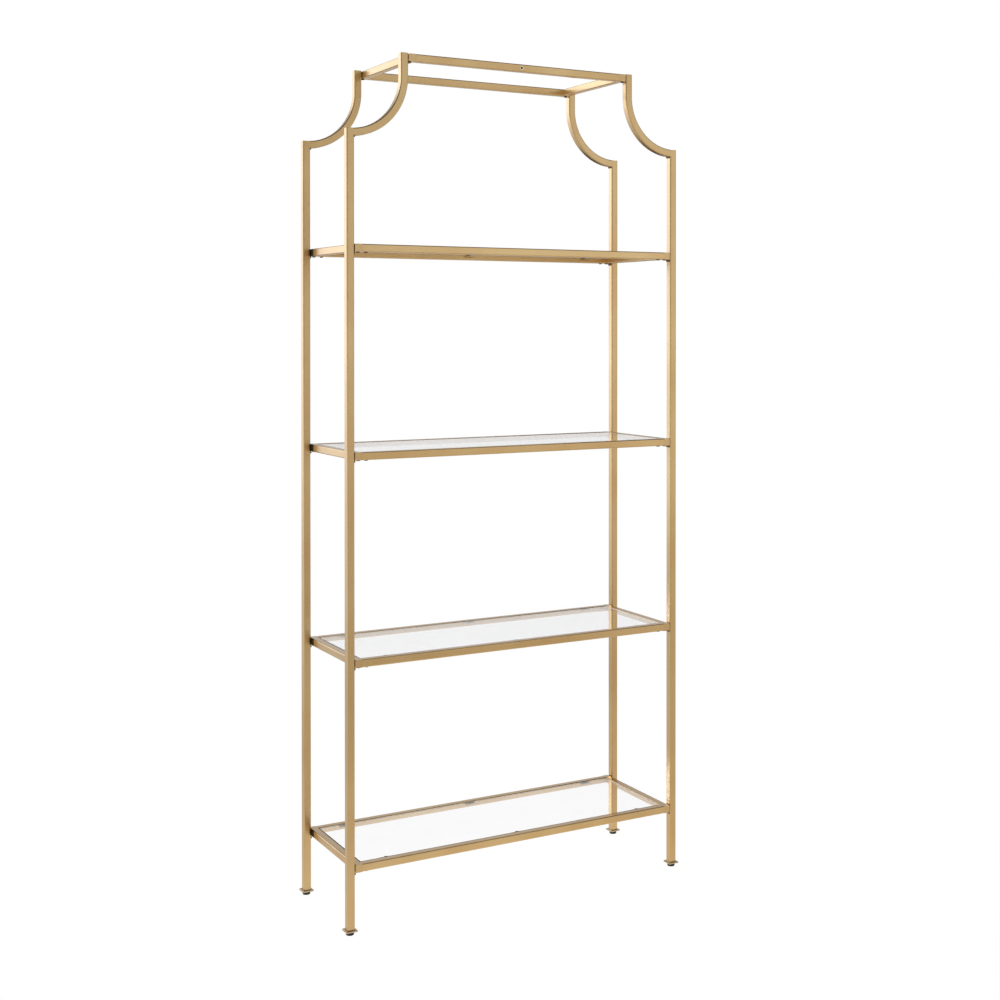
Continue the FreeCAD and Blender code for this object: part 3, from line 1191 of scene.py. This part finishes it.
@dataclass(frozen=True)
class FloorLight:
    """What the metal mirrors of the floor: where it is bright, and in what tint.

    near follows the distance from the middle, rear and tint the way along slant, far the
    way back, right the way to the right, shade the distance from shade_middle.
    """

    near: Ramp = Ramp(0.3, 1.6, 0.33, 0.0)
    slant: Spot = (-2.0, 0.5)
    rear: Ramp = Ramp(1.0, 11.0, 0.5, 1.1)
    far: Ramp = Ramp(12.0, 24.0, 0.0, 0.25)
    right: Ramp = Ramp(0.6, 3.0, 0.0, 0.20)
    shade_middle: Point = (1.7, 3.2, 0.0)
    shade: Ramp = Ramp(1.3, 2.2, 0.04, 1.0)
    tint: Ramp = Ramp(-1.0, 5.0)
    front_tint: Colour = (1.0, 0.93, 0.82)
    rear_tint: Colour = (0.98, 1.0, 1.08)

    def mix(self, canvas: Canvas) -> tuple[Socket, Socket]:
        """Works out the light of each spot.

        Args:
            canvas: the floor material's canvas.

        Returns:
            The tint and the level.
        """
        spot = canvas.add("ShaderNodeTexCoord").outputs["Object"]
        x, y, _ = canvas.axes(spot)
        near = self.near.over(canvas, canvas.vectors("LENGTH", spot))
        along = canvas.maths("MULTIPLY_ADD", x, self.slant[0],
                             canvas.maths("MULTIPLY", y, self.slant[1]))
        gap = canvas.vectors("DISTANCE", spot, self.shade_middle)
        shade = self.shade.over(canvas, gap, interpolation_type="SMOOTHSTEP")
        wide = canvas.maths("ADD", canvas.maths("ADD", self.rear.over(canvas, along),
                                                self.far.over(canvas, y)),
                            self.right.over(canvas, x))
        level = canvas.maths("MULTIPLY", shade, canvas.maths("ADD", near, wide))
        tint = canvas.blend(self.tint.over(canvas, along), rgba(self.front_tint),
                            rgba(self.rear_tint))
        return tint, level


@dataclass
class Studio:
    """Floor, light and camera. None of it belongs to the etagere."""

    floor_radius: float = 30.0
    floor_sides: int = 96
    floor_light: FloorLight = FloorLight()
    floor_level: float = 0.97
    floor_grey: Colour = (0.12, 0.12, 0.12)
    glass_mirror: float = 0.75
    eye: Point = (-1.5550, -3.0260, 1.2577)
    turn: float = 0.521819
    tilt: float = -0.008299
    focal_px: float = 1502.0
    centre_px: Spot = (564.0, 337.4)
    frame_px: float = 1000.0
    sensor_mm: float = 36.0
    sight: float = 200.0
    key_from: Point = (-0.60, 0.72, 0.35)
    key_strength: float = 0.22
    key_angle: float = 16.0
    key_colour: Colour = (0.98, 1.0, 1.10)
    haze: Colour = (0.10, 0.10, 0.10)
    panels: tuple[Panel, ...] = (
        Panel((-0.47, 0.87, 0.13), 14.0, 1.34, (0.97, 1.05, 1.22)),
        Panel((-0.47, 0.87, 0.00), 4.0, 0.40, (0.97, 1.0, 1.12)),
        Panel((0.58, -0.81, 0.00), 7.0, 0.77, (1.0, 0.99, 0.95)),
        Panel((0.45, -0.89, 0.02), 70.0, 0.25, (1.0, 1.0, 0.96)),
        Panel((0.44, 0.85, 0.28), 9.0, 0.55, (0.98, 1.0, 1.10)),
        Panel((-0.60, -0.80, 0.00), 20.0, 1.00, (1.0, 1.0, 1.05)),
    )

    def build(self) -> None:
        """Sets up the studio."""
        self.floor()
        self.world()
        self.key_light()
        self.camera()
        bpy.context.scene.view_settings.view_transform = "Standard"

    def floor(self) -> None:
        """A wide pale floor that is clear from below."""
        mesh = bmesh.new()
        bmesh.ops.create_circle(mesh, cap_ends=True, segments=self.floor_sides,
                                radius=self.floor_radius)
        data = bpy.data.meshes.new("floor")
        mesh.to_mesh(data)
        mesh.free()
        piece = add_piece("floor", data)
        material = bpy.data.materials.new("pale_floor")
        material.use_nodes = True
        canvas = Canvas(material.node_tree)
        canvas.tree.nodes.clear()
        tint, bounced = self.floor_light.mix(canvas)
        level = canvas.blend(self.seen_straight(canvas), bounced, self.floor_level, Blend.NUMBER)
        glow = canvas.node("ShaderNodeEmission", Color=self.whiten(canvas, tint), Strength=level)
        chalk = canvas.node("ShaderNodeBsdfDiffuse", Color=rgba(self.floor_grey))
        both = canvas.fill(canvas.add("ShaderNodeAddShader"), glow.outputs[0], chalk.outputs[0])
        clear = canvas.add("ShaderNodeBsdfTransparent").outputs[0]
        from_below = canvas.add("ShaderNodeNewGeometry").outputs["Backfacing"]
        mix = canvas.fill(canvas.add("ShaderNodeMixShader"), from_below, both.outputs[0], clear)
        canvas.node("ShaderNodeOutputMaterial", Surface=mix.outputs[0])
        data.materials.append(material)

    def whiten(self, canvas: Canvas, colour: Socket) -> Socket:
        """The colour for mirror images, white for whoever looks straight."""
        return canvas.blend(self.seen_straight(canvas), colour, (1.0, 1.0, 1.0, 1.0))

    def world(self) -> None:
        """White to look at, with soft panels for the metal to reflect."""
        world = bpy.data.worlds.new("studio")
        world.use_nodes = True
        bpy.context.scene.world = world
        canvas = Canvas(world.node_tree)
        canvas.tree.nodes.clear()
        direction = canvas.add("ShaderNodeTexCoord").outputs["Generated"]
        light: Socket | Colour = self.haze
        for panel in self.panels:
            light = canvas.vectors("ADD", light, panel.light(canvas, direction))
        sky = canvas.node("ShaderNodeBackground", Color=self.whiten(canvas, light), Strength=1.0)
        canvas.node("ShaderNodeOutputWorld", Surface=sky.outputs[0])

    def seen_straight(self, canvas: Canvas) -> Socket:
        """1 for the eye's own rays and those through glass, less for mirror images in glass.

        What the metal mirrors counts as 0, also where glass lies between.

        Args:
            canvas: the canvas of the material or world.

        Returns:
            The test's result.
        """
        ray = canvas.add("ShaderNodeLightPath").outputs
        one_mirror = canvas.maths("LESS_THAN", ray["Glossy Depth"], 1.5)
        no_mirror = canvas.maths("LESS_THAN", ray["Glossy Depth"], 0.5)
        share = canvas.maths("MULTIPLY", one_mirror, self.glass_mirror)
        mirrored = canvas.maths("MULTIPLY", share, ray["Is Singular Ray"])
        through = canvas.maths("MULTIPLY", no_mirror, ray["Is Transmission Ray"])
        straight = canvas.maths("MAXIMUM", ray["Is Camera Ray"], through)
        return canvas.maths("MAXIMUM", straight, mirrored)

    def key_light(self) -> None:
        """The main lamp, high at the left and behind."""
        lamp = bpy.data.lights.new("key", "SUN")
        lamp.energy = self.key_strength
        lamp.color = self.key_colour
        lamp.angle = math.radians(self.key_angle)
        holder = put_in_scene("key", lamp)
        holder.rotation_mode = "QUATERNION"
        holder.rotation_quaternion = Vector(self.key_from).to_track_quat("Z", "Y")

    def camera(self) -> None:
        """The camera, nearly level and shifted, so that the uprights stay parallel."""
        camera = bpy.data.cameras.new("camera")
        camera.sensor_width = self.sensor_mm
        camera.lens = self.focal_px / self.frame_px * camera.sensor_width
        camera.shift_x = 0.5 - self.centre_px[0] / self.frame_px
        camera.shift_y = self.centre_px[1] / self.frame_px - 0.5
        camera.dof.use_dof = False
        camera.clip_end = self.sight
        holder = put_in_scene("camera", camera)
        holder.location = self.eye
        holder.rotation_euler = (math.pi / 2.0 + self.tilt, 0.0, -self.turn)
        bpy.context.scene.camera = holder


def main() -> None:
    """Builds and dresses every sub-assembly, then the studio."""
    logging.basicConfig(level=logging.INFO, format="%(name)s: %(message)s")
    palette = Palette()
    workshop = Workshop()
    parts = [Uprights(palette, workshop), Frames(palette, workshop),
             GlassShelves(palette, workshop), Feet(palette, workshop), Studio()]
    for part in parts:
        part.build()
        LOG.info("built %s", type(part).__name__)


if __name__ == "__main__":
    main()
